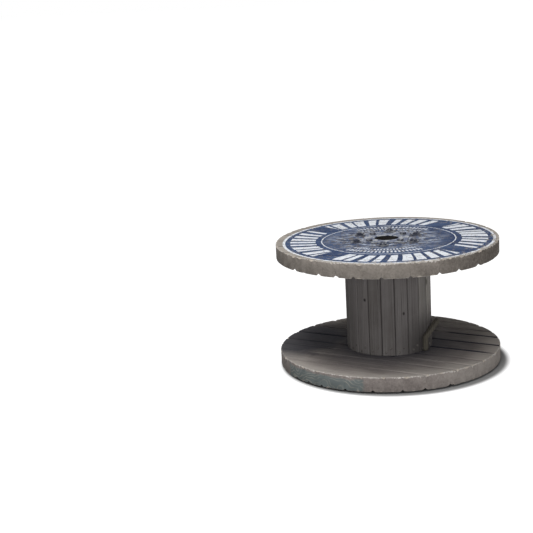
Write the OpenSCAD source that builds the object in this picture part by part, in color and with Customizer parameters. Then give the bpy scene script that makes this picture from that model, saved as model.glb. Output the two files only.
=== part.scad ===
// Timber cable drum standing on its end: two crossed-board flanges, a barrel
// of flat staves on two former discs, six tie bolts and a steel hub plate on
// each outer face. Millimetres, Z up along the drum's axis, floor at Z = 0.

/* [Flanges] */
// Diameter of both flanges
flange_d = 1000; // [720:10:1400]
// Thickness of one layer of flange boards
board_t = 32.5; // [24:0.5:45]
// Open joint between neighbouring boards
board_gap = 0.6; // [0.2:0.2:5]
// Bevel along the long edges of the bare boards on the faces that show
board_bevel = 9.5; // [3:0.5:12]
// Bevel along the long edges of the painted upper boards
painted_bevel = 2.5; // [1:0.5:8]
// Bevel around the rim of each flange face
rim_bevel = 2; // [1:0.5:10]
// Turn of the lower flange against the upper one
lower_turn = 70; // [0:5:90]

/* [Barrel] */
// Clear width between the flanges
traverse = 428; // [260:2:800]
// Width of the barrel across opposite staves
barrel_d = 384; // [330:2:480]
// Number of staves around the barrel
stave_count = 20; // [16:1:26]
// Thickness of one stave
stave_t = 20; // [12:1:26]
// Open joint between neighbouring staves
stave_gap = 1.5; // [0.5:0.5:4]
// Bevel along the outer long edges of the staves
stave_bevel = 4; // [1:0.5:8]
// Turn of the first stave from +X
stave_turn = 5; // [0:1:17]
// Thickness of the former disc at each end of the barrel
former_t = 40; // [20:1:60]
// Play of the spindle hole in the former discs around the hub bore
former_play = 6; // [3:1:10]

/* [Tie bolts] */
// Number of tie bolts
bolt_count = 6; // [4:2:6]
// Diameter of the tie bolts' shanks
bolt_d = 20; // [12:1:24]
// Distance of the bolts' centres inside the inner faces of the staves
bolt_inset = 24; // [18:1:32]
// Diameter of the flat mushroom heads that the drum stands on
head_d = 50; // [40:1:60]
// Height of the bolt heads
head_h = 8; // [6:0.5:14]
// Width of the nuts across flats
nut_af = 30; // [28:1:40]
// Height of the nuts
nut_h = 10; // [8:0.5:20]
// Length of bolt that stands out of a nut
bolt_end = 3; // [1:0.5:10]
// Outer diameter of the washers under the nuts
washer_d = 50; // [40:1:60]
// Thickness of the washers
washer_t = 4; // [2:0.5:8]
// Play of the bolts in their holes, all round
bolt_play = 1.5; // [0.5:0.25:2]

/* [Hub plates] */
// Clearance between the square hub plates and the bolts' washers and heads
plate_gap = 3; // [1:0.5:10]
// Thickness of the hub plates
plate_t = 5; // [3:0.5:7]
// Diameter of the spindle bore in the hub plates
bore_d = 108; // [70:1:120]
// Bevel around the outer edge of the bore
bore_bevel = 2; // [0.5:0.25:2.5]
// Play of the spindle hole in the boards around the hub bore
board_bore_play = 2; // [1:0.5:4]
// Shank diameter of the plate screws
screw_d = 12; // [8:1:14]
// Width of the upper screws' hexagon heads across flats
screw_af = 24; // [18:1:26]
// Height of the upper screws' heads
screw_head_h = 9; // [5:0.5:12]
// Timber left between the screw tips and the inner face of the flange
screw_cover = 15; // [8:1:24]
// Play of the screws in their holes, all round
screw_play = 0.25; // [0.1:0.05:0.5]

/* [Cable cleat] */
// Stave that carries the cleat, counted from the first one
cleat_stave = -2; // [-9:1:9]
// Thickness of the cleat, outward from the barrel
cleat_t = 16; // [12:1:40]
// Place of the cleat's foot along the stave's width
cleat_shift = -1; // [-18:1:0]
// Width of the upright foot
cleat_foot_w = 22; // [12:1:28]
// Height at which the middle lines of foot and arm meet
cleat_elbow_h = 62; // [40:1:90]
// Width of the leaning arm
cleat_arm_w = 22; // [14:1:34]
// Sideways reach of the arm from the foot's middle
cleat_reach = 100; // [60:1:110]
// Rise of the arm above the elbow
cleat_rise = 56; // [50:1:90]

/* [Hidden] */
$fn = 96;

flange_r = flange_d / 2;
flange_t = 2 * board_t;
// Heights of the faces, from the floor up. The drum stands on its bolt heads,
// or on the lower hub plate where that is thicker.
lower_face_z = max(head_h, plate_t);
lower_inner_z = lower_face_z + flange_t;
upper_inner_z = lower_inner_z + traverse;
upper_face_z = upper_inner_z + flange_t;

stave_step = 360 / stave_count;
barrel_r = barrel_d / 2;
former_r = barrel_r - stave_t;
bore_r = bore_d / 2;
board_bore_r = bore_r + board_bore_play;
former_bore_r = bore_r + former_play;

bolt_circle_r = former_r - bolt_inset;
bolt_step = 360 / bolt_count;
first_bolt = bolt_step / 2;
bolt_hole_r = bolt_d / 2 + bolt_play;
bolt_foot_z = lower_face_z - head_h;
bolt_top_z = upper_face_z + washer_t + nut_h + bolt_end;
nut_r = nut_af / 2 / cos(30);
head_r = head_d / 2;

// The plate fills the square between the bolts, and its screws stand midway
// between the bore and the plate's corners.
plate_half = bolt_circle_r * cos(first_bolt) - max(washer_d, head_d) / 2 - plate_gap;
plate_w = 2 * plate_half;
screw_xy = (bore_r / sqrt(2) + plate_half) / 2;
screw_hole_r = screw_d / 2 + screw_play;
screw_hex_r = screw_af / 2 / cos(30);
screw_len = plate_t + flange_t - screw_cover;

upper_screw_floor_z = upper_inner_z + screw_cover;
lower_screw_floor_z = lower_inner_z - screw_cover;

// Seams across the middle of a layer lie between and across the bolts, so they
// are set as shares of the bolt circle's radius.
hub_seams = [-1.135, -0.62, 0.18, 0.985] * bolt_circle_r;
// Boards from there to the rim, as parts of the width that is left.
wide = 3;
narrow = 2;
left_parts = [narrow, wide, 3.5];
right_parts = [wide, narrow, narrow, 2.2];
function sum_of(parts, count) = count == 0 ? 0 : parts[count - 1] + sum_of(parts, count - 1);
function share(parts, count) = sum_of(parts, count) / sum_of(parts, len(parts));
left_start = hub_seams[0];
right_start = hub_seams[len(hub_seams) - 1];
rim_over = 2 * board_bevel;
board_edges = concat(
    [-flange_r - rim_over],
    [for (i = [len(left_parts) - 1 : -1 : 1])
        left_start - (flange_r + left_start) * share(left_parts, i)],
    hub_seams,
    [for (i = [1 : len(right_parts) - 1])
        right_start + (flange_r - right_start) * share(right_parts, i)],
    [flange_r + rim_over]
);
boards_per_layer = len(board_edges) - 1;

cut = 1;

module at_bolt(i) {
    rotate([0, 0, first_bolt + i * bolt_step])
        translate([bolt_circle_r, 0, 0])
            children();
}

module at_bolts() {
    for (i = [0 : bolt_count - 1])
        at_bolt(i) children();
}

module at_screws() {
    for (x = [-screw_xy, screw_xy])
        for (y = [-screw_xy, screw_xy])
            translate([x, y, 0]) children();
}

// Bolt holes and spindle hole through the whole height of the drum.
module through_holes(bore) {
    height = bolt_top_z + 2 * cut;
    translate([0, 0, -cut]) {
        cylinder(h = height, r = bore);
        at_bolts() cylinder(h = height, r = bolt_hole_r);
    }
}

// Blind holes for the plate screws of both flanges.
module screw_holes() {
    at_screws() {
        translate([0, 0, upper_screw_floor_z])
            cylinder(h = flange_t, r = screw_hole_r);
        translate([0, 0, lower_screw_floor_z - flange_t])
            cylinder(h = flange_t, r = screw_hole_r);
    }
}

// Flange layer as one disc, its bevelled face up.
module layer_disc() {
    rotate_extrude()
        polygon([
            [0, 0],
            [flange_r, 0],
            [flange_r, board_t - rim_bevel],
            [flange_r - rim_bevel, board_t],
            [0, board_t]
        ]);
}

// One board along Y, its seams at fixed X, its bevelled face up.
module board(i, bevel) {
    left = board_edges[i] + board_gap / 2;
    right = board_edges[i + 1] - board_gap / 2;
    intersection() {
        layer_disc();
        rotate([90, 0, 0])
            linear_extrude(height = flange_d + 2 * cut, center = true)
                polygon([
                    [left, 0],
                    [right, 0],
                    [right, board_t - bevel],
                    [right - bevel, board_t],
                    [left + bevel, board_t],
                    [left, board_t - bevel]
                ]);
    }
}

module drilled_board() {
    difference() {
        children();
        through_holes(board_bore_r);
        screw_holes();
    }
}

module upper_outer_board(i) {
    color("#3a4763")
        drilled_board()
            translate([0, 0, upper_face_z - board_t])
                rotate([0, 0, -90])
                    board(i, painted_bevel);
}

module upper_inner_board(i) {
    color("#8b857c")
        drilled_board()
            translate([0, 0, upper_inner_z + board_t])
                mirror([0, 0, 1])
                    board(i, board_bevel);
}

module lower_inner_board(i) {
    color("#8b857c")
        drilled_board()
            translate([0, 0, lower_inner_z - board_t])
                rotate([0, 0, lower_turn])
                    board(i, board_bevel);
}

module lower_outer_board(i) {
    color("#3a4763")
        drilled_board()
            translate([0, 0, lower_face_z + board_t])
                mirror([0, 0, 1])
                    rotate([0, 0, lower_turn - 90])
                        board(i, board_bevel);
}

// Barrel stave across +X, its outer face flat and its sides radial.
module stave() {
    slope = tan(stave_step / 2);
    joint = stave_gap / 2 / cos(stave_step / 2);
    inner_y = former_r * slope - joint;
    outer_y = barrel_r * slope - joint;
    shoulder_y = outer_y - stave_bevel * slope;
    translate([0, 0, lower_inner_z])
        linear_extrude(height = traverse)
            polygon([
                [former_r, -inner_y],
                [barrel_r - stave_bevel, -shoulder_y],
                [barrel_r, stave_bevel - outer_y],
                [barrel_r, outer_y - stave_bevel],
                [barrel_r - stave_bevel, shoulder_y],
                [former_r, inner_y]
            ]);
}

module barrel_staves() {
    color("#7d7770")
        for (i = [0 : stave_count - 1])
            rotate([0, 0, stave_turn + i * stave_step])
                stave();
}

// Disc with one flat for each stave, drilled for the spindle and the bolts.
module former(z) {
    corner_r = former_r / cos(stave_step / 2);
    first_corner = stave_turn + stave_step / 2;
    difference() {
        translate([0, 0, z])
            linear_extrude(height = former_t)
                polygon([
                    for (i = [0 : stave_count - 1])
                        corner_r * [
                            cos(first_corner + i * stave_step),
                            sin(first_corner + i * stave_step)
                        ]
                ]);
        through_holes(former_bore_r);
    }
}

module upper_former() {
    color("#7d7770") former(upper_inner_z - former_t);
}

module lower_former() {
    color("#7d7770") former(lower_inner_z);
}

// Shank with a mushroom head below, its edge bevelled towards the floor.
module tie_bolt(i) {
    edge = head_h / 2;
    shank_r = bolt_d / 2;
    length = bolt_top_z - bolt_foot_z;
    color("#5b5f66")
        at_bolt(i)
            translate([0, 0, bolt_foot_z])
                rotate_extrude()
                    polygon([
                        [0, 0],
                        [head_r - edge, 0],
                        [head_r, edge],
                        [head_r, head_h],
                        [shank_r, head_h],
                        [shank_r, length],
                        [0, length]
                    ]);
}

module tie_nuts() {
    color("#5b5f66")
        at_bolts()
            translate([0, 0, upper_face_z + washer_t])
                difference() {
                    cylinder(h = nut_h, r = nut_r, $fn = 6);
                    translate([0, 0, -cut])
                        cylinder(h = nut_h + 2 * cut, r = bolt_d / 2);
                }
}

module nut_washers() {
    color("#5b5f66")
        at_bolts()
            translate([0, 0, upper_face_z])
                difference() {
                    cylinder(h = washer_t, r = washer_d / 2);
                    translate([0, 0, -cut])
                        cylinder(h = washer_t + 2 * cut, r = bolt_hole_r);
                }
}

// Square plate, its outer face up, with a bevelled spindle bore.
module hub_plate() {
    difference() {
        translate([-plate_w / 2, -plate_w / 2, 0])
            cube([plate_w, plate_w, plate_t]);
        translate([0, 0, -cut])
            cylinder(h = plate_t + 2 * cut, r = bore_r);
        translate([0, 0, plate_t - bore_bevel])
            cylinder(h = bore_bevel + cut, r1 = bore_r, r2 = bore_r + bore_bevel + cut);
        translate([0, 0, -cut])
            at_screws() cylinder(h = plate_t + 2 * cut, r = screw_hole_r);
    }
}

module upper_hub_plate() {
    color("#4a5468")
        translate([0, 0, upper_face_z])
            hub_plate();
}

// The lower plate is countersunk, so that its screws stay above the floor.
module lower_hub_plate() {
    color("#4a5468")
        translate([0, 0, lower_face_z])
            mirror([0, 0, 1])
                difference() {
                    hub_plate();
                    at_screws()
                        cylinder(
                            h = plate_t + cut,
                            r1 = screw_hole_r,
                            r2 = screw_hole_r + plate_t + cut
                        );
                }
}

// Hexagon heads on the plate, shanks through it into the boards.
module upper_plate_screws() {
    color("#5b5f66")
        translate([0, 0, upper_face_z + plate_t])
            at_screws() {
                cylinder(h = screw_head_h, r = screw_hex_r, $fn = 6);
                translate([0, 0, -screw_len])
                    cylinder(h = screw_len, r = screw_d / 2);
            }
}

// Countersunk heads flush with the plate's outer face.
module lower_plate_screws() {
    color("#5b5f66")
        translate([0, 0, lower_face_z])
            mirror([0, 0, 1])
                at_screws() {
                    cylinder(h = plate_t, r1 = screw_d / 2, r2 = screw_d / 2 + plate_t);
                    translate([0, 0, plate_t - screw_len])
                        cylinder(h = screw_len - plate_t, r = screw_d / 2);
                }
}

// Dog-leg block on a stave's flat face: an upright foot and a leaning arm.
module cable_cleat() {
    lean = atan2(cleat_rise, cleat_reach);
    side = [-sin(lean), cos(lean)] * cleat_arm_w / 2;
    tip = [cleat_reach, cleat_elbow_h + cleat_rise];
    under_tip = tip - side;
    over_tip = tip + side;
    half_w = cleat_foot_w / 2;
    under_z = under_tip.y - (under_tip.x - half_w) * tan(lean);
    over_z = over_tip.y - (over_tip.x + half_w) * tan(lean);
    color("#8b857c")
        rotate([0, 0, stave_turn + cleat_stave * stave_step])
            translate([barrel_r, cleat_shift, lower_inner_z])
                rotate([90, 0, 90])
                    linear_extrude(height = cleat_t)
                        polygon([
                            [-half_w, 0],
                            [half_w, 0],
                            [half_w, under_z],
                            under_tip,
                            over_tip,
                            [-half_w, over_z]
                        ]);
}

for (i = [1 : boards_per_layer]) {
    upper_outer_board(i - 1);
    upper_inner_board(i - 1);
    lower_inner_board(i - 1);
    lower_outer_board(i - 1);
}
barrel_staves();
upper_former();
lower_former();
for (i = [1 : bolt_count]) {
    tie_bolt(i - 1);
}
tie_nuts();
nut_washers();
upper_hub_plate();
lower_hub_plate();
upper_plate_screws();
lower_plate_screws();
cable_cleat();
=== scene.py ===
import math
import random
import bmesh
import bpy
from mathutils import Matrix, Vector


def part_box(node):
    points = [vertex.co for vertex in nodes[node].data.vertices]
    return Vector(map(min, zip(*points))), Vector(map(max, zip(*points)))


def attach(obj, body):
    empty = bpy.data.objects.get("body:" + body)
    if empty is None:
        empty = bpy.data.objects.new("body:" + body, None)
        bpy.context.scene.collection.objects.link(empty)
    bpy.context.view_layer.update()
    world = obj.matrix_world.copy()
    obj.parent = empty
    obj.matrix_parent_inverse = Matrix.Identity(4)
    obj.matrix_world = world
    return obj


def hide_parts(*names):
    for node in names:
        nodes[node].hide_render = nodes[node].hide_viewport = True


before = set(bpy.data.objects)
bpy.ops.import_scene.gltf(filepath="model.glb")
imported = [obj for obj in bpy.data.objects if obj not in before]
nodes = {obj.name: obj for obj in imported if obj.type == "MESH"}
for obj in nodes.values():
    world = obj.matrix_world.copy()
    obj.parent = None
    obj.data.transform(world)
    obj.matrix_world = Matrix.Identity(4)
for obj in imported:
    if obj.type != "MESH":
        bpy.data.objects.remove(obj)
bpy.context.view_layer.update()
scene = bpy.context.scene
scene.view_settings.view_transform = "Standard"

mm = 0.001
flangeRadius = max(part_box(name)[1].x for name in nodes if "board" in name)
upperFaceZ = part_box("upper_hub_plate")[0].z          # painted face of the upper flange
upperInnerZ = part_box("upper_inner_board_5")[0].z
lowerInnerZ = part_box("lower_inner_board_5")[1].z
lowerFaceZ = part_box("lower_outer_board_5")[0].z
midHeight = (upperFaceZ + lowerFaceZ) / 2
staveCount = 20
staveTurn = math.radians(5)                          # middle of the first stave, from +X
staveStep = 2 * math.pi / staveCount
barrelRadius = 192 * mm                              # to the flat of a stave
print("frame loaded:", len(nodes), "nodes, flange radius", round(flangeRadius, 3), "m")


def linear(code):                                    # sRGB hex to linear RGBA
    parts = [int(code[i:i + 2], 16) / 255 for i in (1, 3, 5)]
    return [v / 12.92 if v <= 0.04045 else ((v + 0.055) / 1.055) ** 2.4 for v in parts] + [1.0]


def addNode(tree, kind, inputs=(), output=0, **settings):   # one node in, one of its outputs back
    node = tree.nodes.new("ShaderNode" + kind)
    for key, value in settings.items():
        setattr(node, key, value)
    for key, value in dict(inputs).items():
        if isinstance(value, bpy.types.NodeSocket):
            tree.links.new(value, node.inputs[key])
        else:
            node.inputs[key].default_value = value
    return node.outputs[output] if node.outputs else None


def newMaterial(name):
    material = bpy.data.materials.new(name)
    material.use_nodes = True
    material.node_tree.nodes.clear()
    return material, material.node_tree


# The lens looks past the drum, so the drum stands right of the picture's middle.
photoCamera = {
    "azimuth": 6.0,        # degrees round the drum from the front
    "elevation": 14.8,
    "distance": 5.79,      # metres from the middle of the drum
    "yaw": 11.6,
    "tilt": 13.13,
    "roll": -3.09,
    "lens": 85.43,
}


def outward(turn, rise):                             # unit vector, degrees from the front and up
    around, up = math.radians(turn), math.radians(rise)
    return Vector((math.sin(around) * math.cos(up), -math.cos(around) * math.cos(up), math.sin(up)))


def makeCamera(spec):
    camera = bpy.data.objects.new("photoCamera", bpy.data.cameras.new("photoCamera"))
    camera.data.lens = spec["lens"]
    camera.data.clip_end = 200
    place = Vector((0, 0, midHeight)) + outward(spec["azimuth"], spec["elevation"]) * spec["distance"]
    camera.matrix_world = (
        Matrix.Translation(place)
        @ Matrix.Rotation(math.radians(spec["yaw"]), 4, "Z")
        @ Matrix.Rotation(math.radians(90 - spec["tilt"]), 4, "X")
        @ Matrix.Rotation(math.radians(spec["roll"]), 4, "Z")
    )
    scene.collection.objects.link(camera)
    scene.camera = camera


makeCamera(photoCamera)
print("camera placed")

studio = {
    "floorHalf": 60.0,
    "floorColour": "#a4a4a4",
    "paintedShadowColour": "#262626",                          # painted shadow on the paper in the low gap under the drum
    "paintedShadowFrom": 0.455, "paintedShadowTo": 0.490,                # metres from the axis
    "glowCentre": (0.020, -0.012, 0.0),              # metres; the shadow lies to the right and front
    "glowFrom": 0.496, "glowTo": 0.535,              # metres from there; seen white further out
    "worldStrength": 0.04,
    "lamps": {                                       # turn, rise, distance, size in metres, watts
        "keySoftbox": (-8, 52, 4.2, 2.0, 60),
        "topSoftbox": (-66, 76, 4.2, 2.0, 86),
        "frontSoftbox": (0, 7, 4.6, 2.0, 63),
        "sideSoftbox": (86, 11, 4.0, 1.2, 19),
    },
}


def seenNodes(tree):                                 # 1 for what is looked at, 0 for what only lights
    rays = addNode(tree, "LightPath").node.outputs
    seen = addNode(tree, "Math", {
        0: rays["Is Camera Ray"], 1: rays["Is Glossy Ray"],
    }, operation="MAXIMUM")
    return addNode(tree, "Math", {0: seen, 1: rays["Is Transmission Ray"]}, operation="MAXIMUM")


# Matt backdrop paper, seen as white but for the shadow round the drum, with a painted shadow under the drum.
def makeFloor(spec):
    half = spec["floorHalf"]
    mesh = bpy.data.meshes.new("floor")
    corners = [(-half, -half, 0), (half, -half, 0), (half, half, 0), (-half, half, 0)]
    mesh.from_pydata(corners, [], [(0, 1, 2, 3)])
    floor = bpy.data.objects.new("floor", mesh)
    scene.collection.objects.link(floor)
    paper, tree = newMaterial("whiteBackdropPaper")
    seen = seenNodes(tree)
    place = addNode(tree, "TexCoord", output="Object")
    away = addNode(tree, "VectorMath", {
        0: place, 1: spec["glowCentre"],
    }, output="Value", operation="DISTANCE")
    glow = addNode(tree, "MapRange", {
        "Value": away, "From Min": spec["glowFrom"], "From Max": spec["glowTo"],
    }, interpolation_type="SMOOTHSTEP")
    glow = addNode(tree, "Math", {0: seen, 1: glow}, operation="MULTIPLY")
    light = addNode(tree, "Emission", {"Strength": glow})
    # the paper is painted dark under the drum: a painted shadow in the gap
    pastPaintedShadow = addNode(tree, "VectorMath", {0: place}, output="Value", operation="LENGTH")
    pastPaintedShadow = addNode(tree, "MapRange", {
        "Value": pastPaintedShadow, "From Min": spec["paintedShadowFrom"], "From Max": spec["paintedShadowTo"],
    })
    tone = addNode(tree, "Mix", {
        0: pastPaintedShadow, 6: linear(spec["paintedShadowColour"]), 7: linear(spec["floorColour"]),
    }, output=2, data_type="RGBA")
    matt = addNode(tree, "BsdfDiffuse", {"Color": tone})
    both = addNode(tree, "AddShader", {0: matt, 1: light})
    addNode(tree, "OutputMaterial", {"Surface": both})
    mesh.materials.append(paper)


def makeLamp(name, turn, rise, distance, size, watts):
    lamp = bpy.data.lights.new(name, "AREA")
    lamp.shape, lamp.size, lamp.energy = "DISK", size, watts
    back = outward(turn + photoCamera["azimuth"], rise)
    holder = bpy.data.objects.new(name, lamp)
    holder.location = Vector((0, 0, midHeight)) + back * distance
    holder.rotation_mode = "QUATERNION"
    holder.rotation_quaternion = (-back).to_track_quat("-Z", "Y")
    scene.collection.objects.link(holder)


def makeWorld(spec):
    world = bpy.data.worlds.new("paperWhite")
    scene.world = world
    world.use_nodes = True
    tree = world.node_tree
    tree.nodes.clear()
    seen = seenNodes(tree)
    strength = addNode(tree, "MapRange", {"Value": seen, "To Min": spec["worldStrength"], "To Max": 1.0})
    sky = addNode(tree, "Background", {"Color": linear("#ffffff"), "Strength": strength})
    addNode(tree, "OutputWorld", {"Surface": sky})


makeFloor(studio)
makeWorld(studio)
for lampName, lampSpec in studio["lamps"].items():
    makeLamp(lampName, *lampSpec)
print("floor and lights set")

timberLook = {
    "dark": "#5c5650", "mid": "#8d867f", "pale": "#aca59d",
    "toneStops": (0.32, 0.5, 0.72),            # where those three lie in the tone
    "faceTone": {"base": 0.02, "fibre": 0.50, "rings": 0.10, "stain": 0.34},   # what a face's tone is made of
    "rimTone": {"base": 0.24, "speck": 0.34, "mottle": 0.20},                  # and a rim's
    "toneSpread": 0.16,                        # how far the boards differ
    "boardShift": (40, 0.3, 0.06),             # metres; each board is cut from elsewhere in the tree
    "ringSpacing": 9.0, "ringTaper": 0.06,     # mm between growth rings, coarser than real so that they show
    "fibreWidth": 4.5, "fibreLength": 240.0,   # mm, coarser than real fibres for the same reason
    "crackWidth": 5.0, "crackLength": 320.0, "crackFrom": (0.70, 0.76), "crackDirt": 0.7,
    "speckSize": 9.0, "mottleSize": 46.0, "stainSize": 170.0,
    "edgeWidth": 7.0, "edgeBlend": 3.0,        # mm of a board's end that counts as rim
    "bruiseAndHighlight": "#dbd7d1", "bruiseAndHighlightShare": 0.85,      # fresh fibres along knocked edges, with a painted highlight on them, and how much they show
    "bruiseAndHighlightFrom": (0.46, 0.58),
    "chipReach": 13.0, "chipLift": 0.25,       # mm below the edge; chips crowd towards it
    "chipBlotch": 0.45, "chipFrom": (0.68, 0.73),
    "chipSide": (-0.2, 0.25), "chipLeast": 0.72,   # metres along X; the side that was rolled against has most
    "dirtAndShade": "#2a2827",
    "jointDirtAndShadeReach": 14.0, "jointDirtAndShadeFrom": (0.40, 0.92),   # mm that dirt and painted shade creep out of a joint
    "jointDirtAndShade": 0.95, "rimClean": 0.85, "grooveDirt": 0.85,
    "bore": 0.062, "boreBlend": 3.0, "grease": 0.95,   # metres, mm; from the spindle, inside this radius
    "shadeAndGrimeFrom": 0.20, "shadeAndGrimeTo": 0.43, "shadeAndGrime": 0.5,   # metres; painted shade and dirt from the cable's turns, darkest by the barrel, less towards the rim
    "bleachFrom": 0.38, "bleach": 0.18,        # metres; the sun gets at the faces near the rim
    "rimSideShading": -0.12, "rimSideShadingFrom": (0.12, 0.42),  # painted shade on the rims towards +X (painted light above 0), in metres
    "ringRelief": 0.25, "crackRelief": -0.8, "grainDepth": 0.8,   # depth in mm
    "roughness": 0.86,
}
staveLook = dict(                              # rubbed smooth by the cable
    timberLook, dark="#605c59", mid="#757170", pale="#858180",
    jointDirtAndShadeReach=7.0, jointDirtAndShade=0.6, toneSpread=0.10,
    paleStave=39, paleTone="#c8c3bc",          # one stave pale, its neighbours half so
    paleFadeTo=(0.19, 0.30),                     # metres; the paleness fades out below this
    footShadeAndGrime=0.68, footAngle=-32,             # painted shade and dirt beside the cleat
    footHeight=0.09, footReach=(0.05, 0.165),  # metres
    knotDirt=0.9, knotBlend=(0.45, 1.1),
    knots=(                                    # angle in degrees; height, width and length in mm
        (-117, 325, 8, 9), (-64, 263, 6, 9), (-22, 382, 6, 24), (60, 240, 8, 10),
    ),
)
lowerLook = dict(                              # splashed from the floor; the blue of its dirt colour is painted skylight in the shade
    timberLook, dark="#544f4c", mid="#857d79", pale="#aaa39d", dirtAndShade="#202431",
    shadeAndGrime=0.78, shadeAndGrimeTo=0.47, rimSideShading=0.17, bleach=0.26,
    grooveZone=(0.34, 0.03, 0.0), grooveReach=(0.17, 0.23),   # metres; the grooves are darkened only round here
    oilAndShade=0.85, oilAndShadeZone=(-0.42, 0.08, 0.0),      # painted shade on the left of the face, with some old oil soaked in
    oilAndShadeReach=(0.26, 0.44), oilAndShadeStray=0.16,      # metres
)
# the cleat's wood: a darker copy of the timber, as painted shade
shadedBlockLook = dict(timberLook, dark="#3c3933", mid="#5a564e", pale="#767065", shadeAndGrime=0.0)
formerLook = dict(timberLook, dark="#3b3937", mid="#565351", pale="#6d6966")   # oily


# Grain of a board along X once it is turned, and the specks, blotches and stains on it.
def grainNodes(tree, look, turn, pithHeight, staves):
    place = addNode(tree, "TexCoord", output="Object")
    laid = addNode(tree, "Mapping", {"Vector": place, "Rotation": turn})
    axes = addNode(tree, "SeparateXYZ", {0: place}).node.outputs
    if staves:                                       # one piece holds all staves, so count them by angle
        angle = addNode(tree, "Math", {0: axes[1], 1: axes[0]}, operation="ARCTAN2")
        lot = addNode(tree, "Math", {
            0: angle, 1: 1 / staveStep, 2: 2 * staveCount + 0.5 - staveTurn / staveStep,
        }, operation="MULTIPLY_ADD")
        lot = addNode(tree, "Math", {0: lot}, operation="FLOOR")
    else:
        lot = addNode(tree, "ObjectInfo", output="Random")
    draw = addNode(tree, "TexWhiteNoise", {"W": lot}, output="Color", noise_dimensions="1D")
    draw = addNode(tree, "VectorMath", {0: draw, 1: (0.5, 0.5, 0.5)}, operation="SUBTRACT")
    own = addNode(tree, "VectorMath", {0: draw, 1: look["boardShift"], 2: laid}, operation="MULTIPLY_ADD")
    own = addNode(tree, "VectorMath", {0: own, 1: (0, 0, pithHeight)}, operation="SUBTRACT")

    stretched = addNode(tree, "Mapping", {"Vector": own, "Scale": (look["ringTaper"], 1, 1)})
    rings = addNode(tree, "TexWave", {
        "Vector": stretched, "Scale": 2 * math.pi / 20 / (look["ringSpacing"] * mm),
        "Distortion": 6.0, "Detail": 3.0, "Detail Scale": 0.2, "Detail Roughness": 0.6,
    }, output="Fac", wave_type="RINGS", rings_direction="X")
    across, along = 1 / (look["fibreWidth"] * mm), 1 / (look["fibreLength"] * mm)
    strands = addNode(tree, "Mapping", {"Vector": own, "Scale": (along, across, across)})
    fibre = addNode(tree, "TexNoise", {
        "Vector": strands, "Scale": 1.0, "Detail": 4.0, "Roughness": 0.6,
    })
    across, along = 1 / (look["crackWidth"] * mm), 1 / (look["crackLength"] * mm)
    splits = addNode(tree, "Mapping", {"Vector": own, "Scale": (along, across, across)})
    crack = addNode(tree, "TexNoise", {"Vector": splits, "Scale": 1.0, "Detail": 1.0})
    crack = addNode(tree, "MapRange", {
        "Value": crack, "From Min": look["crackFrom"][0], "From Max": look["crackFrom"][1],
    })
    speck = addNode(tree, "TexNoise", {
        "Vector": place, "Scale": 1 / (look["speckSize"] * mm), "Detail": 4.0, "Roughness": 0.7,
    })
    mottle = addNode(tree, "TexNoise", {
        "Vector": place, "Scale": 1 / (look["mottleSize"] * mm), "Detail": 4.0, "Roughness": 0.6,
    })
    stain = addNode(tree, "TexNoise", {
        "Vector": own, "Scale": 1 / (look["stainSize"] * mm), "Detail": 4.0, "Roughness": 0.6,
    })
    return {
        "place": place, "axes": axes, "lot": lot, "draw": draw, "rings": rings, "fibre": fibre,
        "crack": crack, "speck": speck, "mottle": mottle, "stain": stain,
    }


# Where a point lies on a flange: on a face, on the rim or on the bevel between them, and how far out.
def siteNodes(tree, look, place):
    normal = addNode(tree, "NewGeometry", output="True Normal")
    level = addNode(tree, "SeparateXYZ", {0: normal}).node.outputs[2]
    flatness = addNode(tree, "Math", {0: level}, operation="ABSOLUTE")
    upright = addNode(tree, "MapRange", {
        "Value": flatness, "From Min": 0.25, "From Max": 0.6, "To Min": 1.0, "To Max": 0.0,
    })
    flat = addNode(tree, "VectorMath", {0: place, 1: (1, 1, 0)}, operation="MULTIPLY")
    fromAxis = addNode(tree, "VectorMath", {0: flat}, output="Value", operation="LENGTH")
    edgeStart = flangeRadius - look["edgeWidth"] * mm
    atRim = addNode(tree, "MapRange", {
        "Value": fromAxis, "From Min": edgeStart, "From Max": edgeStart + look["edgeBlend"] * mm,
    })
    onRim = addNode(tree, "Math", {0: upright, 1: atRim}, operation="MULTIPLY")
    return {
        "normal": normal, "level": level, "flatness": flatness, "upright": upright,
        "flat": flat, "fromAxis": fromAxis, "atRim": atRim, "onRim": onRim,
    }


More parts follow.
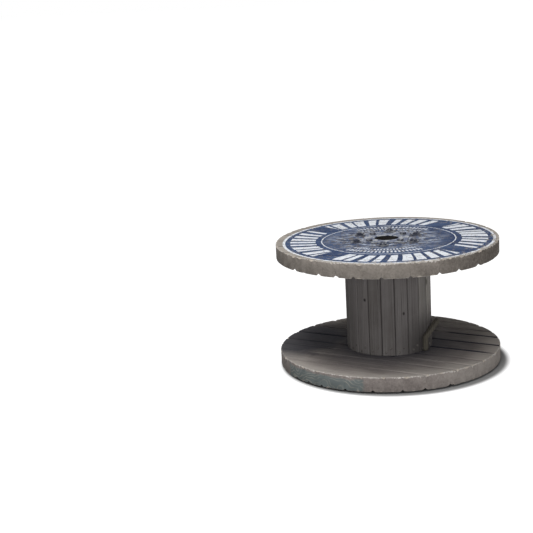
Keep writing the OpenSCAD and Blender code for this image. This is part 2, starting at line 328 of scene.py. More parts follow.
# Clean wood: fibres, rings and stains on the faces; on the rims, specks and blotches across the boards.
def toneNodes(tree, look, grain, site):
    shares = look["faceTone"]
    face = addNode(tree, "Math", {
        0: grain["fibre"], 1: shares["fibre"], 2: shares["base"],
    }, operation="MULTIPLY_ADD")
    face = addNode(tree, "Math", {0: grain["rings"], 1: shares["rings"], 2: face}, operation="MULTIPLY_ADD")
    face = addNode(tree, "Math", {0: grain["stain"], 1: shares["stain"], 2: face}, operation="MULTIPLY_ADD")
    tint = addNode(tree, "SeparateXYZ", {0: grain["draw"]})
    face = addNode(tree, "Math", {0: tint, 1: look["toneSpread"], 2: face}, operation="MULTIPLY_ADD")
    bleached = addNode(tree, "MapRange", {
        "Value": site["fromAxis"], "From Min": look["bleachFrom"], "From Max": flangeRadius,
        "To Min": 0.0, "To Max": look["bleach"],
    })
    face = addNode(tree, "Math", {0: face, 1: bleached}, operation="ADD")
    shares = look["rimTone"]
    rim = addNode(tree, "Math", {
        0: grain["speck"], 1: shares["speck"], 2: shares["base"],
    }, operation="MULTIPLY_ADD")
    rim = addNode(tree, "Math", {0: grain["mottle"], 1: shares["mottle"], 2: rim}, operation="MULTIPLY_ADD")
    # painted shade on the rims towards +X, painted light where the amount is above 0
    sideShading = addNode(tree, "MapRange", {
        "Value": grain["axes"][0], "From Min": look["rimSideShadingFrom"][0], "From Max": look["rimSideShadingFrom"][1],
        "To Min": 0.0, "To Max": look["rimSideShading"],
    })
    rim = addNode(tree, "Math", {0: rim, 1: sideShading}, operation="ADD")
    tone = addNode(tree, "Mix", {0: site["onRim"], 2: face, 3: rim})
    colour = addNode(tree, "ValToRGB", {"Fac": tone})
    stops = colour.node.color_ramp.elements
    low, middle, high = look["toneStops"]
    stops[0].position, stops[0].color = low, linear(look["dark"])
    stops[1].position, stops[1].color = high, linear(look["pale"])
    stops.new(middle).color = linear(look["mid"])
    return colour


# One stave, and half its neighbours, pale above the foot.
def paleStaveNodes(tree, look, grain, colour):
    paleShare = addNode(tree, "Math", {0: grain["lot"], 1: look["paleStave"]}, operation="SUBTRACT")
    paleShare = addNode(tree, "Math", {0: paleShare}, operation="ABSOLUTE")
    paleShare = addNode(tree, "MapRange", {"Value": paleShare, "From Max": 2.0, "To Min": 1.0, "To Max": 0.0})
    paleFade = addNode(tree, "MapRange", {
        "Value": grain["axes"][2], "From Min": look["paleFadeTo"][0], "From Max": look["paleFadeTo"][1],
    })
    paleShare = addNode(tree, "Math", {0: paleShare, 1: paleFade}, operation="MULTIPLY")
    paleShare = addNode(tree, "Math", {0: paleShare, 1: grain["fibre"]}, operation="MULTIPLY")
    return addNode(tree, "Mix", {
        0: paleShare, 6: colour, 7: linear(look["paleTone"]),
    }, output=2, data_type="RGBA")


# Knocked edges: the bevel round the rim is bruised pale, partly as a painted highlight, and chips are
# scattered along the upper edge.
def bruiseAndHighlightNodes(tree, look, grain, site, chippedZ):
    bevel = addNode(tree, "Math", {0: 1.0, 1: site["upright"]}, operation="SUBTRACT")
    bruiseAndHighlight = addNode(tree, "Math", {0: bevel, 1: site["atRim"]}, operation="MULTIPLY")
    torn = addNode(tree, "MapRange", {
        "Value": grain["speck"], "From Min": look["bruiseAndHighlightFrom"][0], "From Max": look["bruiseAndHighlightFrom"][1],
        "To Min": 0.0, "To Max": look["bruiseAndHighlightShare"],
    })
    bruiseAndHighlight = addNode(tree, "Math", {0: bruiseAndHighlight, 1: torn}, operation="MULTIPLY")
    if chippedZ is None:
        return bruiseAndHighlight
    below = addNode(tree, "Math", {0: chippedZ, 1: grain["axes"][2]}, operation="SUBTRACT")
    near = addNode(tree, "MapRange", {
        "Value": below, "From Min": 0.0, "From Max": look["chipReach"] * mm,
        "To Min": look["chipLift"], "To Max": 0.0,
    })
    knocks = addNode(tree, "MapRange", {
        "Value": grain["axes"][0], "From Min": look["chipSide"][0], "From Max": look["chipSide"][1],
        "To Min": look["chipLeast"], "To Max": 1.0,
    })
    near = addNode(tree, "Math", {0: near, 1: knocks}, operation="MULTIPLY")
    chips = addNode(tree, "Mix", {0: look["chipBlotch"], 2: grain["speck"], 3: grain["mottle"]})
    chips = addNode(tree, "Math", {0: chips, 1: near}, operation="ADD")
    chips = addNode(tree, "MapRange", {
        "Value": chips, "From Min": look["chipFrom"][0], "From Max": look["chipFrom"][1],
        "To Min": 0.0, "To Max": look["bruiseAndHighlightShare"],
    })
    chips = addNode(tree, "Math", {0: chips, 1: site["onRim"]}, operation="MULTIPLY")
    return addNode(tree, "Math", {0: bruiseAndHighlight, 1: chips}, operation="MAXIMUM")


# Growth rings round a heart that the cut of the rim lays open.
def figureNodes(tree, figure, grain, site, colour):
    place, mottle = grain["place"], grain["mottle"]
    spin = math.radians(-90 - figure["angle"])
    local = addNode(tree, "Mapping", {
        "Vector": place, "Rotation": (0, 0, spin), "Location": (0, 0, -figure["height"]),
    })
    side = addNode(tree, "SeparateXYZ", {0: local}).node.outputs
    ahead = addNode(tree, "Math", {0: side[1], 1: 0.0}, operation="LESS_THAN")
    reach = addNode(tree, "Math", {0: side[0]}, operation="ABSOLUTE")
    reach = addNode(tree, "Math", {0: mottle, 1: figure["ragged"], 2: reach}, operation="MULTIPLY_ADD")
    patch = addNode(tree, "MapRange", {
        "Value": reach, "From Min": figure["reach"], "From Max": figure["reach"] + figure["blend"],
        "To Min": 1.0, "To Max": 0.0,
    })
    patch = addNode(tree, "Math", {0: patch, 1: ahead}, operation="MULTIPLY")
    patch = addNode(tree, "Math", {0: patch, 1: site["onRim"]}, operation="MULTIPLY")
    brim = addNode(tree, "Math", {
        0: mottle, 1: figure["brim"] * 0.5, 2: side[2],
    }, operation="MULTIPLY_ADD")
    brim = addNode(tree, "MapRange", {
        "Value": brim, "From Min": figure["brim"], "From Max": figure["brim"] * 1.15,
        "To Min": 1.0, "To Max": 0.0,
    })
    patch = addNode(tree, "Math", {0: patch, 1: brim}, operation="MULTIPLY")
    patch = addNode(tree, "Math", {0: patch, 1: figure["strength"]}, operation="MULTIPLY")

    squat = addNode(tree, "VectorMath", {
        0: local, 1: (1 / figure["stretch"], 0, 1),
    }, operation="MULTIPLY")
    depth = addNode(tree, "VectorMath", {0: squat}, output="Value", operation="LENGTH")
    flow = addNode(tree, "TexNoise", {
        "Vector": place, "Scale": 1 / (figure["waverSize"] * mm), "Detail": 1.0,
    })
    depth = addNode(tree, "Math", {
        0: flow, 1: figure["waver"] * mm, 2: depth,
    }, operation="MULTIPLY_ADD")
    year = addNode(tree, "Math", {
        0: depth, 1: 2 * math.pi / (figure["spacing"] * mm),
    }, operation="MULTIPLY")
    year = addNode(tree, "Math", {0: year}, operation="SINE")
    late = addNode(tree, "MapRange", {"Value": year, "From Min": 0.25, "From Max": 1.0})
    broken = addNode(tree, "MapRange", {
        "Value": mottle, "From Min": 0.38, "From Max": 0.62, "To Min": 0.1,
    })
    late = addNode(tree, "Math", {0: late, 1: broken}, operation="MULTIPLY")
    tinted = addNode(tree, "Mix", {
        0: late, 6: linear(figure["tint"]), 7: linear(figure["line"]),
    }, output=2, data_type="RGBA")
    return addNode(tree, "Mix", {0: patch, 6: colour, 7: tinted}, output=2, data_type="RGBA")


# The sloping sides of the grooves between boards, but not the bevel round the rim.
def grooveNodes(tree, turn, site):
    radial = addNode(tree, "VectorMath", {0: site["flat"]}, operation="NORMALIZE")
    radial = addNode(tree, "VectorMath", {
        0: site["normal"], 1: radial,
    }, output="Value", operation="DOT_PRODUCT")
    radial = addNode(tree, "Math", {0: radial, 1: 0.55}, operation="GREATER_THAN")
    radial = addNode(tree, "Math", {0: radial, 1: site["atRim"]}, operation="MULTIPLY")
    groove = addNode(tree, "Mapping", {"Vector": site["normal"], "Rotation": turn})
    groove = addNode(tree, "SeparateXYZ", {0: groove}).node.outputs[1]
    groove = addNode(tree, "Math", {0: groove}, operation="ABSOLUTE")
    slope, slack = 0.7, 0.2                          # about 45 degrees
    groove = addNode(tree, "Math", {0: groove, 1: slope, 2: slack}, operation="COMPARE")
    sloped = addNode(tree, "Math", {0: site["flatness"], 1: slope, 2: slack}, operation="COMPARE")
    groove = addNode(tree, "Math", {0: groove, 1: sloped}, operation="MULTIPLY")
    return addNode(tree, "Math", {0: groove, 1: radial}, operation="SUBTRACT", use_clamp=True)


# Dirt and painted shade in joints, dirt in grooves and cracks, grease in the bore, and patches of dirt and
# painted shade: the most of them counts.
def dirtAndShadeNodes(tree, look, grain, site, groove, crack, staves):
    # dirt and painted shade near any recess, from ambient occlusion
    hollow = addNode(tree, "AmbientOcclusion", {
        "Distance": look["jointDirtAndShadeReach"] * mm,
    }, output="AO", samples=8)
    jointDirtAndShadeMask = addNode(tree, "MapRange", {
        "Value": hollow, "From Min": look["jointDirtAndShadeFrom"][0], "From Max": look["jointDirtAndShadeFrom"][1],
        "To Min": look["jointDirtAndShade"], "To Max": 0.0,
    })
    faint = addNode(tree, "Math", {0: site["onRim"], 1: -look["rimClean"], 2: 1.0}, operation="MULTIPLY_ADD")
    jointDirtAndShadeMask = addNode(tree, "Math", {0: jointDirtAndShadeMask, 1: faint}, operation="MULTIPLY")
    caked = addNode(tree, "Math", {0: groove, 1: look["grooveDirt"]}, operation="MULTIPLY")
    if "grooveZone" in look:
        clear = addNode(tree, "VectorMath", {
            0: site["flat"], 1: look["grooveZone"],
        }, output="Value", operation="DISTANCE")
        clear = addNode(tree, "MapRange", {
            "Value": clear, "From Min": look["grooveReach"][0], "From Max": look["grooveReach"][1],
            "To Min": 1.0, "To Max": 0.0,
        })
        caked = addNode(tree, "Math", {0: caked, 1: clear}, operation="MULTIPLY")
    greasy = addNode(tree, "MapRange", {
        "Value": site["fromAxis"],
        "From Min": look["bore"], "From Max": look["bore"] + look["boreBlend"] * mm,
        "To Min": look["grease"], "To Max": 0.0,
    })
    kinds = [jointDirtAndShadeMask, caked, crack, greasy]
    # painted shade and dirt at the barrel's foot beside the cleat
    if "footShadeAndGrime" in look:
        turned = math.radians(look["footAngle"])
        spot = (barrelRadius * math.cos(turned), barrelRadius * math.sin(turned), look["footHeight"])
        foot = addNode(tree, "VectorMath", {
            0: grain["place"], 1: spot,
        }, output="Value", operation="DISTANCE")
        kinds.append(addNode(tree, "MapRange", {
            "Value": foot, "From Min": look["footReach"][0], "From Max": look["footReach"][1],
            "To Min": look["footShadeAndGrime"], "To Max": 0.0,
        }))
    for angle, height, width, length in look.get("knots", ()):      # dead knots, and where one fell out
        turned = math.radians(angle)
        heart = (barrelRadius * math.cos(turned), barrelRadius * math.sin(turned), height * mm)
        knot = addNode(tree, "VectorMath", {0: grain["place"], 1: heart}, operation="SUBTRACT")
        knot = addNode(tree, "VectorMath", {0: knot, 1: (1, 1, width / length)}, operation="MULTIPLY")
        knot = addNode(tree, "VectorMath", {0: knot}, output="Value", operation="LENGTH")
        inner, outer = (width * mm * share for share in look["knotBlend"])
        kinds.append(addNode(tree, "MapRange", {
            "Value": knot, "From Min": inner, "From Max": outer, "To Min": look["knotDirt"], "To Max": 0.0,
        }))
    if not staves:
        # painted shade and dirt, darker towards the barrel
        kinds.append(addNode(tree, "MapRange", {
            "Value": site["fromAxis"], "From Min": look["shadeAndGrimeFrom"], "From Max": look["shadeAndGrimeTo"],
            "To Min": look["shadeAndGrime"], "To Max": 0.0,
        }))
    if "oilAndShadeZone" in look:
        # painted shade on the left of the lower face, with some old oil
        oilAndShade = addNode(tree, "VectorMath", {
            0: site["flat"], 1: look["oilAndShadeZone"],
        }, output="Value", operation="DISTANCE")
        oilAndShade = addNode(tree, "Math", {
            0: grain["stain"], 1: look["oilAndShadeStray"], 2: oilAndShade,
        }, operation="MULTIPLY_ADD")
        oilAndShade = addNode(tree, "MapRange", {
            "Value": oilAndShade, "From Min": look["oilAndShadeReach"][0], "From Max": look["oilAndShadeReach"][1],
            "To Min": look["oilAndShade"], "To Max": 0.0,
        })
        offRim = addNode(tree, "Math", {0: 1.0, 1: site["onRim"]}, operation="SUBTRACT")
        kinds.append(addNode(tree, "Math", {0: oilAndShade, 1: offRim}, operation="MULTIPLY"))
    dirtAndShade = kinds[0]
    for kind in kinds[1:]:
        dirtAndShade = addNode(tree, "Math", {0: dirtAndShade, 1: kind}, operation="MAXIMUM")
    return dirtAndShade


# Colour and relief of sawn softwood, and the measures that paint on it needs.
def timberNodes(tree, look, turn, pithHeight=0.0, staves=False, figures=(), chippedZ=None):
    grain = grainNodes(tree, look, turn, pithHeight, staves)
    site = siteNodes(tree, look, grain["place"])
    colour = toneNodes(tree, look, grain, site)
    if staves:
        colour = paleStaveNodes(tree, look, grain, colour)
    for figure in figures:
        colour = figureNodes(tree, figure, grain, site, colour)
    bruiseAndHighlight = bruiseAndHighlightNodes(tree, look, grain, site, chippedZ)
    # pale bevels round the rims: bruised wood and a painted highlight
    colour = addNode(tree, "Mix", {
        0: bruiseAndHighlight, 6: colour, 7: linear(look["bruiseAndHighlight"]),
    }, output=2, data_type="RGBA")
    groove = grooveNodes(tree, turn, site)
    offRim = addNode(tree, "Math", {0: look["crackDirt"], 1: site["onRim"]}, operation="SUBTRACT")
    crack = addNode(tree, "Math", {0: grain["crack"], 1: offRim}, operation="MULTIPLY", use_clamp=True)
    dirtAndShade = dirtAndShadeNodes(tree, look, grain, site, groove, crack, staves)
    colour = addNode(tree, "Mix", {0: dirtAndShade, 6: colour, 7: linear(look["dirtAndShade"])}, output=2, data_type="RGBA")
    relief = addNode(tree, "Math", {
        0: grain["rings"], 1: look["ringRelief"], 2: grain["fibre"],
    }, operation="MULTIPLY_ADD")
    relief = addNode(tree, "Mix", {0: site["onRim"], 2: relief, 3: grain["speck"]})
    relief = addNode(tree, "Math", {0: crack, 1: look["crackRelief"], 2: relief}, operation="MULTIPLY_ADD")
    return {
        "place": grain["place"], "fibre": grain["fibre"], "stain": grain["stain"],
        "level": site["level"], "flat": site["flat"], "fromAxis": site["fromAxis"],
        "groove": groove, "colour": colour, "relief": relief,
    }


# Sawn softwood left out in the weather: silver-grey and matt, with raised fibres, dirty joints and painted
# shade.
def weatheredSoftwood(name, look, turn, **where):
    material, tree = newMaterial(name)
    wood = timberNodes(tree, look, turn, **where)
    bump = addNode(tree, "Bump", {
        "Height": wood["relief"], "Distance": look["grainDepth"] * mm, "Strength": 0.8,
    })
    shader = addNode(tree, "BsdfPrincipled", {
        "Base Color": wood["colour"], "Roughness": look["roughness"], "IOR": 1.45,
        "Specular IOR Level": 0.2, "Normal": bump,
    })
    addNode(tree, "OutputMaterial", {"Surface": shader})
    return material


paintLook = {
    "navy": "#223354", "navyDusty": "#475a7c", "white": "#ebeff5", "dust": "#bfc8d8",
    "dustyFrom": (0.35, 0.75),
    "roughness": 0.72, "gloss": 0.12, "thickness": 0.4,
    "centre": (0.010, -0.012),                 # metres; the print sits a little off the axis
    "edge": 0.953, "edgeLine": 12.0,           # outer ring: share of the radius, width in mm
    "innerRing": 0.60, "innerLine": 5.0,
    "bars": (0.655, 0.885), "barCount": 44, "barFill": (0.42, 0.82), "barSlant": 1.6,
    "groups": 4, "groupFill": 0.84, "groupTurn": 4.3,
    "dashRows": ((0.405, 0.445), (0.485, 0.545)), "dashCount": 96, "dashFill": 0.5,
    "dashFacing": 0.78,                        # dashes stand only in front of and behind the hub
    "flakeSize": 13.0,                         # mm across a lost flake
    "flakeLoss": 0.65, "fibreLoss": 0.35, "lossFrom": (0.56, 0.595),
    "ragged": 7.0,                             # mm that the stencil's edges stray
    "hubFrom": (0.09, 0.30), "hubLoss": 0.09,  # metres from the axis; trodden most at the hub
    "rimFrom": (0.45, 0.485), "rimLoss": 0.06,
    "seamDirt": 0.35,                          # in the grooves between boards
    "scuffSize": 26.0, "scuffScale": (0.6, 1.0, 1.0), "scuffFrom": (0.46, 0.66),   # mm; along the boards
    "hubDust": 24.0,
}


# White stencilling, as a mask: two rings, four groups of bars and two rows of dashes.
def stencilNodes(tree, look, printed):
    radius = addNode(tree, "VectorMath", {0: printed}, output="Value", operation="LENGTH")
    share = addNode(tree, "Math", {0: radius, 1: flangeRadius}, operation="DIVIDE")
    axes = addNode(tree, "SeparateXYZ", {0: printed}).node.outputs
    angle = addNode(tree, "Math", {0: axes[1], 1: axes[0]}, operation="ARCTAN2")
    turns = addNode(tree, "Math", {0: angle, 1: 1 / (2 * math.pi)}, operation="MULTIPLY")

    group = addNode(tree, "Math", {
        0: turns, 1: look["groups"], 2: look["groupTurn"],
    }, operation="MULTIPLY_ADD")
    group = addNode(tree, "Math", {0: group}, operation="FRACT")
    group = addNode(tree, "Math", {0: group, 1: look["groupFill"]}, operation="LESS_THAN")
    leaning = addNode(tree, "Math", {0: turns, 1: look["barCount"]}, operation="MULTIPLY")
    leaning = addNode(tree, "Math", {
        0: share, 1: look["barSlant"], 2: leaning,
    }, operation="MULTIPLY_ADD")
    count = addNode(tree, "Math", {0: leaning}, operation="FLOOR")
    width = addNode(tree, "TexWhiteNoise", {"W": count}, output="Value", noise_dimensions="1D")
    width = addNode(tree, "MapRange", {
        "Value": width, "To Min": look["barFill"][0], "To Max": look["barFill"][1],
    })
    leaning = addNode(tree, "Math", {0: leaning}, operation="FRACT")
    bars = addNode(tree, "Math", {0: leaning, 1: width}, operation="LESS_THAN")
    bars = addNode(tree, "Math", {0: bars, 1: group}, operation="MULTIPLY")

    facing = addNode(tree, "Math", {0: axes[1], 1: radius}, operation="DIVIDE")
    facing = addNode(tree, "Math", {0: facing}, operation="ABSOLUTE")
    facing = addNode(tree, "Math", {0: facing, 1: look["dashFacing"]}, operation="GREATER_THAN")
    dashes = addNode(tree, "Math", {0: turns, 1: look["dashCount"]}, operation="MULTIPLY")
    dashes = addNode(tree, "Math", {0: dashes}, operation="FRACT")
    dashes = addNode(tree, "Math", {0: dashes, 1: look["dashFill"]}, operation="LESS_THAN")
    dashes = addNode(tree, "Math", {0: dashes, 1: facing}, operation="MULTIPLY")

    edgeWidth, innerWidth = (look[key] * mm / flangeRadius for key in ("edgeLine", "innerLine"))
    bands = [                                         # inner and outer share of the radius, and what fills it
        (look["edge"] - edgeWidth, look["edge"], None),
        (look["innerRing"] - innerWidth / 2, look["innerRing"] + innerWidth / 2, None),
        (*look["bars"], bars),
    ]
    bands += [(*row, dashes) for row in look["dashRows"]]
    white = None
    for inner, outer, pattern in bands:
        band = addNode(tree, "Math", {
            0: share, 1: (inner + outer) / 2, 2: (outer - inner) / 2,
        }, operation="COMPARE")
        if pattern is not None:
            band = addNode(tree, "Math", {0: band, 1: pattern}, operation="MULTIPLY")
        if white is not None:
            band = addNode(tree, "Math", {0: white, 1: band}, operation="MAXIMUM")
        white = band
    return white, share


# Two coats of oil paint on the sawn boards: navy with white stencilling, dusty, flaked along the
# grain and trodden off round the hub.
def paintedSoftwood(name, look, timber, turn, **where):
    material, tree = newMaterial(name)
    wood = timberNodes(tree, timber, turn, **where)
    wobble = addNode(tree, "TexNoise", {
        "Vector": wood["place"], "Scale": 1 / (look["flakeSize"] * mm),
    }, output="Color")
    wobble = addNode(tree, "VectorMath", {0: wobble, 1: (0.5, 0.5, 0.5)}, operation="SUBTRACT")
    printed = addNode(tree, "VectorMath", {
        0: wood["flat"], 1: (*look["centre"], 0),
    }, operation="SUBTRACT")
    brush = (look["ragged"] * mm, look["ragged"] * mm, 0)
    printed = addNode(tree, "VectorMath", {0: wobble, 1: brush, 2: printed}, operation="MULTIPLY_ADD")
    white, share = stencilNodes(tree, look, printed)

    # where paint is left: on the face, inside the outer ring, less flakes and the trodden hub
    faceUp = addNode(tree, "Math", {0: wood["level"], 1: 0.4}, operation="GREATER_THAN")
    inside = addNode(tree, "Math", {0: share, 1: look["edge"]}, operation="LESS_THAN")
    flake = addNode(tree, "TexNoise", {
        "Vector": wood["place"], "Scale": 1 / (look["flakeSize"] * mm), "Detail": 5.0, "Roughness": 0.65,
    })
    hub = addNode(tree, "MapRange", {
        "Value": wood["fromAxis"], "From Min": look["hubFrom"][0], "From Max": look["hubFrom"][1],
        "To Min": look["hubLoss"], "To Max": 0.0,
    })
    rimWear = addNode(tree, "MapRange", {
        "Value": wood["fromAxis"], "From Min": look["rimFrom"][0], "From Max": look["rimFrom"][1],
        "To Min": 0.0, "To Max": look["rimLoss"],
    })
    loss = addNode(tree, "Math", {0: wood["fibre"], 1: look["fibreLoss"], 2: hub}, operation="MULTIPLY_ADD")
    loss = addNode(tree, "Math", {0: flake, 1: look["flakeLoss"], 2: loss}, operation="MULTIPLY_ADD")
    loss = addNode(tree, "Math", {0: loss, 1: rimWear}, operation="ADD")
    kept = addNode(tree, "MapRange", {
        "Value": loss, "From Min": look["lossFrom"][0], "From Max": look["lossFrom"][1],
        "To Min": 1.0, "To Max": 0.0,
    })
    kept = addNode(tree, "Math", {0: kept, 1: inside}, operation="MULTIPLY")
    covered = addNode(tree, "Math", {0: kept, 1: faceUp}, operation="MULTIPLY")

    # its colour: navy and white under dust, which is thickest at the hub
    dusty = addNode(tree, "MapRange", {
        "Value": wood["stain"], "From Min": look["dustyFrom"][0], "From Max": look["dustyFrom"][1],
    })
    navy = addNode(tree, "Mix", {
        0: dusty, 6: linear(look["navy"]), 7: linear(look["navyDusty"]),
    }, output=2, data_type="RGBA")
    paint = addNode(tree, "Mix", {
        0: white, 6: navy, 7: linear(look["white"]),
    }, output=2, data_type="RGBA")
    scuff = addNode(tree, "Mapping", {"Vector": wood["place"], "Scale": look["scuffScale"]})
    scuff = addNode(tree, "TexNoise", {
        "Vector": scuff, "Scale": 1 / (look["scuffSize"] * mm), "Detail": 5.0, "Roughness": 0.7,
    })
    film = addNode(tree, "MapRange", {
        "Value": scuff, "From Min": look["scuffFrom"][0], "From Max": look["scuffFrom"][1],
    })
    film = addNode(tree, "Math", {0: film, 1: hub}, operation="MULTIPLY")
    film = addNode(tree, "Math", {0: film, 1: look["hubDust"]}, operation="MULTIPLY", use_clamp=True)
    paint = addNode(tree, "Mix", {
        0: film, 6: paint, 7: linear(look["dust"]),
    }, output=2, data_type="RGBA")
    colour = addNode(tree, "Mix", {0: covered, 6: wood["colour"], 7: paint}, output=2, data_type="RGBA")
    seam = addNode(tree, "Math", {0: wood["groove"], 1: look["seamDirt"]}, operation="MULTIPLY")
    colour = addNode(tree, "Mix", {
        0: seam, 6: colour, 7: linear(timber["dirtAndShade"]),
    }, output=2, data_type="RGBA")
    rough = addNode(tree, "MapRange", {
        "Value": covered, "To Min": timber["roughness"], "To Max": look["roughness"],
    })
    height = addNode(tree, "Math", {
        0: covered, 1: look["thickness"], 2: wood["relief"],
    }, operation="MULTIPLY_ADD")
    bump = addNode(tree, "Bump", {
        "Height": height, "Distance": timber["grainDepth"] * mm, "Strength": 0.6,
    })
    shader = addNode(tree, "BsdfPrincipled", {
        "Base Color": colour, "Roughness": rough, "IOR": 1.5,
        "Specular IOR Level": look["gloss"], "Normal": bump,
    })
    addNode(tree, "OutputMaterial", {"Surface": shader})
    return material


steelLook = {
    "paint": "#3f4a66", "bare": "#a5a8ac", "dark": "#2c2b2c", "bareMetal": 0.35,
    "roughness": 0.55, "patchSize": 20.0,      # mm across a rubbed patch
    "bareFrom": (0.58, 0.66), "pitSize": 4.0, "pitDepth": 0.3,
    "dirtAndShadeReach": 16.0, "dirtAndShadeFrom": (0.35, 0.95),   # mm that dirt and painted shade creep out of a corner
}
boltLook = dict(steelLook, paint="#2b3146", bare="#9a9da2", dirtAndShadeReach=22.0)   # greasy, rubbed on the corners, with painted shade reaching further round them


# Rolled plate and forged bolts, painted over with the flange and rubbed back to dull grey metal, dark with
# dirt and painted shade in their recesses.
def paintedSteel(name, look, wear):
    material, tree = newMaterial(name)
    place = addNode(tree, "TexCoord", output="Object")
    patch = addNode(tree, "TexNoise", {
        "Vector": place, "Scale": 1 / (look["patchSize"] * mm), "Detail": 6.0, "Roughness": 0.65,
    })
    pits = addNode(tree, "TexNoise", {
        "Vector": place, "Scale": 1 / (look["pitSize"] * mm), "Detail": 3.0,
    })
    low, high = look["bareFrom"]
    rubbed = addNode(tree, "MapRange", {"Value": patch, "From Min": low - wear, "From Max": high - wear})
    body = addNode(tree, "Mix", {
        0: rubbed, 6: linear(look["paint"]), 7: linear(look["bare"]),
    }, output=2, data_type="RGBA")
    # dirt and painted shade in the recesses, from ambient occlusion
    hollow = addNode(tree, "AmbientOcclusion", {
        "Distance": look["dirtAndShadeReach"] * mm,
    }, output="AO", samples=8)
    low, high = look["dirtAndShadeFrom"]
    dirtAndShade = addNode(tree, "MapRange", {
        "Value": hollow, "From Min": low, "From Max": high, "To Min": 1.0, "To Max": 0.0,
    })
    colour = addNode(tree, "Mix", {
        0: dirtAndShade, 6: body, 7: linear(look["dark"]),
    }, output=2, data_type="RGBA")
    metal = addNode(tree, "Math", {0: rubbed, 1: look["bareMetal"]}, operation="MULTIPLY")
    bump = addNode(tree, "Bump", {"Height": pits, "Distance": look["pitDepth"] * mm, "Strength": 0.5})
    shader = addNode(tree, "BsdfPrincipled", {
        "Base Color": colour, "Metallic": metal, "Roughness": look["roughness"], "Normal": bump,
    })
    addNode(tree, "OutputMaterial", {"Surface": shader})
    return material


softEdge = {"timber": 0.5 * mm, "steel": 0.7 * mm, "angle": 32}


def dress(name, material, edge=None):
    piece = nodes[name]
    piece.data.materials.clear()
    piece.data.materials.append(material)
    weld = piece.modifiers.new("closedEdges", "WELD")
    weld.merge_threshold = 0.02 * mm
    if not edge:
        return
    bevel = piece.modifiers.new("softEdges", "BEVEL")
    bevel.width, bevel.segments = edge, 2
    bevel.limit_method, bevel.angle_limit = "ANGLE", math.radians(softEdge["angle"])


rimFigures = {                                       # degrees round the drum, metres up; rings in mm
    "upper": [{
        "angle": -156, "height": upperFaceZ - 0.034,
        "reach": 0.045, "blend": 0.012, "ragged": 0.03, "brim": 0.05,   # metres; half width and top
        "stretch": 1.0, "spacing": 11.0, "waver": 12.0, "waverSize": 60.0,
        "tint": "#8b857f", "line": "#4d4844", "strength": 0.75,
    }],
    "lower": [{
        "angle": -122, "height": lowerFaceZ + 0.004,
        "reach": 0.217, "blend": 0.012, "ragged": 0.03, "brim": 0.060,
        "stretch": 3.4, "spacing": 12.0, "waver": 70.0, "waverSize": 65.0,
        "tint": "#6c7879", "line": "#999b93", "strength": 0.8,
    }],
}
layers = {                                           # turn of the grain from +X, height of the face
    "upper_outer": (0, upperFaceZ),
    "upper_inner": (90, upperInnerZ),
    "lower_inner": (160, lowerInnerZ),
    "lower_outer": (70, lowerFaceZ),
}
pithDepth = 50 * mm                                  # heart of the tree below the face
for layer, (turn, faceZ) in layers.items():
    laid = (0, 0, math.radians(-turn))
    where = {"pithHeight": faceZ - pithDepth, "figures": rimFigures[layer.split("_")[0]]}
    if layer in ("upper_outer", "lower_inner"):      # the layers that lie uppermost in each flange
        where["chippedZ"] = faceZ
    if layer == "upper_outer":
        wood = paintedSoftwood("navyPaintedSoftwood", paintLook, timberLook, laid, **where)
    else:
        look = lowerLook if layer.startswith("lower") else timberLook
        wood = weatheredSoftwood("weatheredSoftwood_" + layer, look, laid, **where)
    for name in nodes:
        if name.startswith(layer):
            dress(name, wood)
upright = (0, math.radians(90), 0)
staveWood = weatheredSoftwood("weatheredSoftwood_staves", staveLook, upright, staves=True)
dress("barrel_staves", staveWood, softEdge["timber"])
blockWood = weatheredSoftwood("weatheredSoftwood_block", shadedBlockLook, upright)
dress("cable_cleat", blockWood, softEdge["timber"])
formerWood = weatheredSoftwood("oilySoftwood_formers", formerLook, upright)
for name in ("upper_former", "lower_former"):
    dress(name, formerWood, softEdge["timber"])
steelWear = 0.09
plateSteel = paintedSteel("navyPaintedPlate", steelLook, steelWear)
boltSteel = paintedSteel("rubbedBoltSteel", boltLook, steelWear)
for name in nodes:
    if name.endswith("hub_plate"):
        dress(name, plateSteel, softEdge["steel"])
    elif name.startswith("tie_") or name.endswith("washers") or name.endswith("screws"):
        dress(name, boltSteel, softEdge["steel"])
print("solids dressed")

wear = {
    "seed": 7,
    "spacing": (10 * mm, 90 * mm),               # from one lost splinter to the next along an edge
    "length": (8 * mm, 38 * mm), "depth": (2.0 * mm, 9.0 * mm), "height": (2.0 * mm, 8.0 * mm),
    "cornerChance": 0.6,                         # of lost corners where a groove meets the rim
    "corner": (20 * mm, 30 * mm), "cornerShares": (0.4, 1.0, 0.32),
    "ragged": 0.22,                              # share that each point of a splinter strays
    "tornDark": "#9a9085", "tornPale": "#d8d0c5",
    "fibre": (1.2, 9.0),                         # mm across and along; torn fibres
}


# Softwood torn open by knocks: pale and stringy, because the grey skin is gone.
def tornSoftwood(spec):
    material, tree = newMaterial("tornSoftwood")
    place = addNode(tree, "TexCoord", output="Object")
    across, along = (1 / (size * mm) for size in spec["fibre"])
    place = addNode(tree, "Mapping", {"Vector": place, "Scale": (along, across, across)})
    strings = addNode(tree, "TexNoise", {"Vector": place, "Scale": 1.0, "Detail": 3.0})
    colour = addNode(tree, "Mix", {
        0: strings, 6: linear(spec["tornDark"]), 7: linear(spec["tornPale"]),
    }, output=2, data_type="RGBA")
    bump = addNode(tree, "Bump", {"Height": strings, "Distance": 0.8 * mm})
    shader = addNode(tree, "BsdfPrincipled", {
        "Base Color": colour, "Roughness": 0.9, "Specular IOR Level": 0.2, "Normal": bump,
    })
    addNode(tree, "OutputMaterial", {"Surface": shader})
    return material


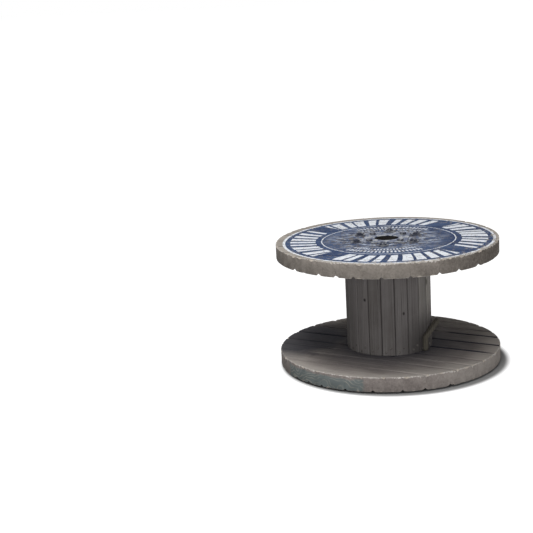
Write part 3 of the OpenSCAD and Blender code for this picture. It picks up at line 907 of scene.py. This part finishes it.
# Closed lumps to cut away: splinters all along an edge, and corners beside the grooves.
def makeSplinters(layer, edgeZ, seams, spec, draw, material):
    shape = bmesh.new()
    lumps = []
    angle = draw.uniform(0, 0.1)
    while angle < 2 * math.pi:
        size = [draw.uniform(*spec[key]) for key in ("depth", "length", "height")]
        lumps.append((angle, size))
        angle += (size[1] + draw.uniform(*spec["spacing"])) / flangeRadius
    for seam in seams:
        if draw.random() < spec["cornerChance"]:
            size = [draw.uniform(*spec["corner"]) * share for share in spec["cornerShares"]]
            lumps.append((seam, size))
    for angle, (depth, length, height) in lumps:
        spot = Vector((math.cos(angle), math.sin(angle), 0)) * flangeRadius + Vector((0, 0, edgeZ))
        placed = (
            Matrix.Translation(spot)
            @ Matrix.Rotation(angle, 4, "Z")
            @ Matrix.Diagonal((depth, length / 2, height, 1))
        )
        lump = bmesh.ops.create_icosphere(shape, subdivisions=1, radius=1.0, matrix=placed)
        for corner in lump["verts"]:
            stray = [draw.uniform(-1, 1) * side * spec["ragged"] for side in (depth, depth, height)]
            corner.co += Vector(stray)
    mesh = bpy.data.meshes.new("splinters_" + layer)
    shape.to_mesh(mesh)
    shape.free()
    mesh.materials.append(material)
    cutter = bpy.data.objects.new("splinters_" + layer, mesh)
    scene.collection.objects.link(cutter)
    return cutter


torn = tornSoftwood(wear)
wearDraw = random.Random(wear["seed"])
for layer, (turn, faceZ) in layers.items():
    along = Vector((math.cos(math.radians(turn)), math.sin(math.radians(turn)), 0))
    across = Vector((-along.y, along.x, 0))
    boards = [name for name in nodes if name.startswith(layer)]
    seams = []
    for name in boards:                          # angle round the rim of each end of a board's far edge
        offset = max(vertex.co.dot(across) for vertex in nodes[name].data.vertices)
        if offset < flangeRadius * 0.97:
            reach = math.sqrt(flangeRadius ** 2 - offset ** 2)
            for end in (along * reach, along * -reach):
                point = across * offset + end
                seams.append(math.atan2(point.y, point.x))
    cutter = makeSplinters(layer, faceZ, seams, wear, wearDraw, torn)
    for name in boards:
        cut = nodes[name].modifiers.new("splinters", "BOOLEAN")
        cut.operation, cut.solver, cut.object = "DIFFERENCE", "EXACT", cutter
        cut.use_self, cut.material_mode = True, "TRANSFER"
    graph = bpy.context.evaluated_depsgraph_get()
    for name in boards:
        mesh = bpy.data.meshes.new_from_object(nodes[name].evaluated_get(graph))
        mesh.name = name + "_worn"
        worn = bpy.data.objects.new(name + "_worn", mesh)
        scene.collection.objects.link(worn)
        nodes[name].modifiers.clear()
        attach(worn, "root")
        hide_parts(name)
    spent = cutter.data
    bpy.data.objects.remove(cutter)
    bpy.data.meshes.remove(spent)
print("boards worn")

nailLook = dict(steelLook, paint="#4d4946", bare="#66625e", bareMetal=0.1)
nails = {
    "headRadius": 5.5 * mm, "headHeight": 1.6 * mm, "sides": 12,
    "heights": (16 * mm, 34 * mm),               # above and below the flanges' inner faces
    "spread": 11 * mm, "jitter": 4 * mm,         # sideways on the stave
    "seed": 4,
}


# Flat-headed nails that hold each stave to the two formers, driven a little unevenly.
def makeNails(spec, material):
    draw = random.Random(spec["seed"])
    shape = bmesh.new()
    profile = [(1.0, -0.6), (1.0, 0.35), (0.86, 0.75), (0.45, 0.97)]   # radius and height, as shares
    for stave in range(staveCount):
        angle = staveTurn + stave * staveStep
        out = Vector((math.cos(angle), math.sin(angle), 0))
        side = Vector((-out.y, out.x, 0))
        for faceZ, sign in ((lowerInnerZ, 1), (upperInnerZ, -1)):
            for rank, height in enumerate(spec["heights"]):
                slide = spec["spread"] * (1 if rank else -1) + draw.uniform(-1, 1) * spec["jitter"]
                z = faceZ + sign * (height + draw.uniform(-1, 1) * spec["jitter"])
                base = out * barrelRadius + side * slide + Vector((0, 0, z))
                loops = []
                for share, rise in profile:
                    loop = []
                    for step in range(spec["sides"]):
                        a = 2 * math.pi * step / spec["sides"]
                        spoke = side * math.cos(a) + Vector((0, 0, math.sin(a)))
                        point = base + spoke * share * spec["headRadius"]
                        point += out * rise * spec["headHeight"]
                        loop.append(shape.verts.new(point))
                    loops.append(loop)
                for low, high in zip(loops, loops[1:]):
                    for step in range(spec["sides"]):
                        after = (step + 1) % spec["sides"]
                        shape.faces.new((low[step], low[after], high[after], high[step]))
                shape.faces.new(loops[-1])
                shape.faces.new(loops[0][::-1])
    mesh = bpy.data.meshes.new("stave_nails")
    shape.to_mesh(mesh)
    shape.free()
    mesh.shade_smooth()
    mesh.set_sharp_from_angle(angle=math.radians(50))
    mesh.materials.append(material)
    piece = bpy.data.objects.new("stave_nails", mesh)
    scene.collection.objects.link(piece)
    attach(piece, "root")


makeNails(nails, paintedSteel("dullNailSteel", nailLook, 0.1))
print("nails driven")
